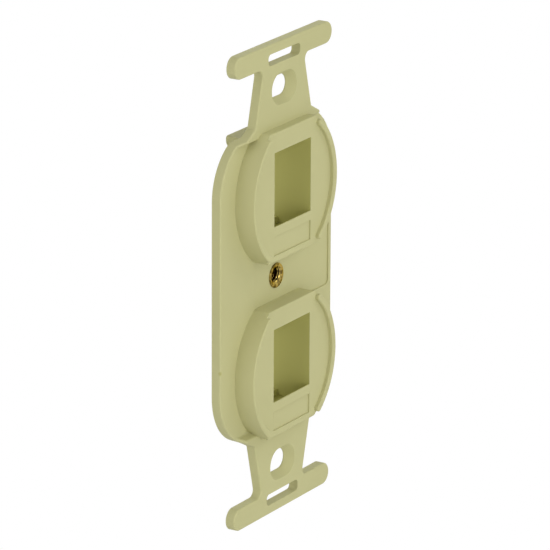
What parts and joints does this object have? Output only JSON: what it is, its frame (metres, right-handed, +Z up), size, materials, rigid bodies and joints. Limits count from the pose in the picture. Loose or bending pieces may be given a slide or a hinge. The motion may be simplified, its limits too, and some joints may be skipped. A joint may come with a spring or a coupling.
{
  "type": "duplex-form keystone mounting frame",
  "caption": "Outlet-form mounting frame for snap-in keystone jacks, with raised round faces, end straps with slotted ears, and a threaded brass insert for the cover screw.",
  "frame": {"origin": "where the threaded insert's axis crosses the wall's surface, the plane of the ears' backs, midway between the two faces", "axes": "+Z up along the straps, -Y to the front, out of the wall, +X to the right as seen from the front"},
  "size_m": [0.0452, 0.0116, 0.104],
  "materials": {
    "ivory_plastic": "satin moulded surface",
    "insert_brass": "turned and tarnished"
  },
  "bodies": {
    "root": {"mounting_frame": "ivory_plastic", "threaded_insert": "insert_brass"}
  },
  "joints": []
}
